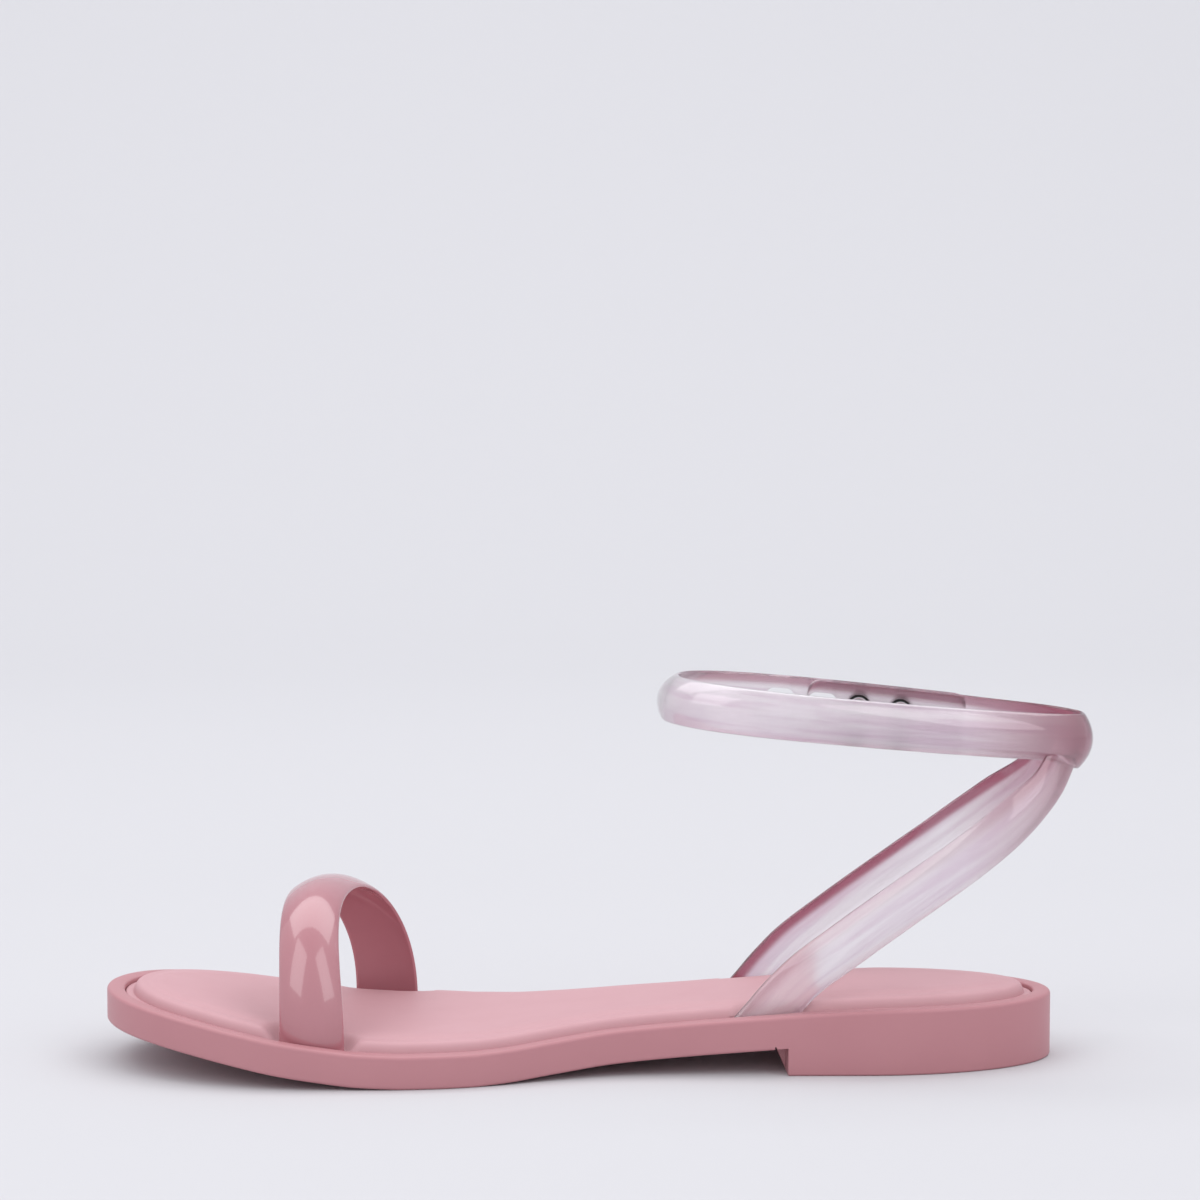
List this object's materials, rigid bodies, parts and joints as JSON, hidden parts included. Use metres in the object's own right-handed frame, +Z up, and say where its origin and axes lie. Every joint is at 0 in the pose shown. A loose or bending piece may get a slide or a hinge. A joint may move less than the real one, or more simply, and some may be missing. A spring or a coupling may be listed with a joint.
{
  "type": "jelly sandal",
  "caption": "Right women's jelly sandal with a moulded rose sole, a padded insole, a glossy toe strap and a clear lilac ankle strap that closes on studs.",
  "frame": {"origin": "on the floor under the middle of the heel block", "axes": "+X towards the back of the heel, the toe at -X, the inner side of the foot at -Y, +Z up"},
  "size_m": [0.2589, 0.0863, 0.101],
  "materials": {
    "sole_plastic": "satin moulded rose plastic",
    "insole_foam": "soft satin, padded",
    "strap_gloss": "glossy opaque rose",
    "strap_clear": "glossy translucent lilac",
    "steel": "polished"
  },
  "bodies": {
    "root": {"outsole": "sole_plastic", "insole": "insole_foam", "toe_strap": "strap_gloss", "ankle_strap": "strap_clear", "closure_stud_1": "steel", "closure_stud_2": "steel"}
  },
  "joints": []
}
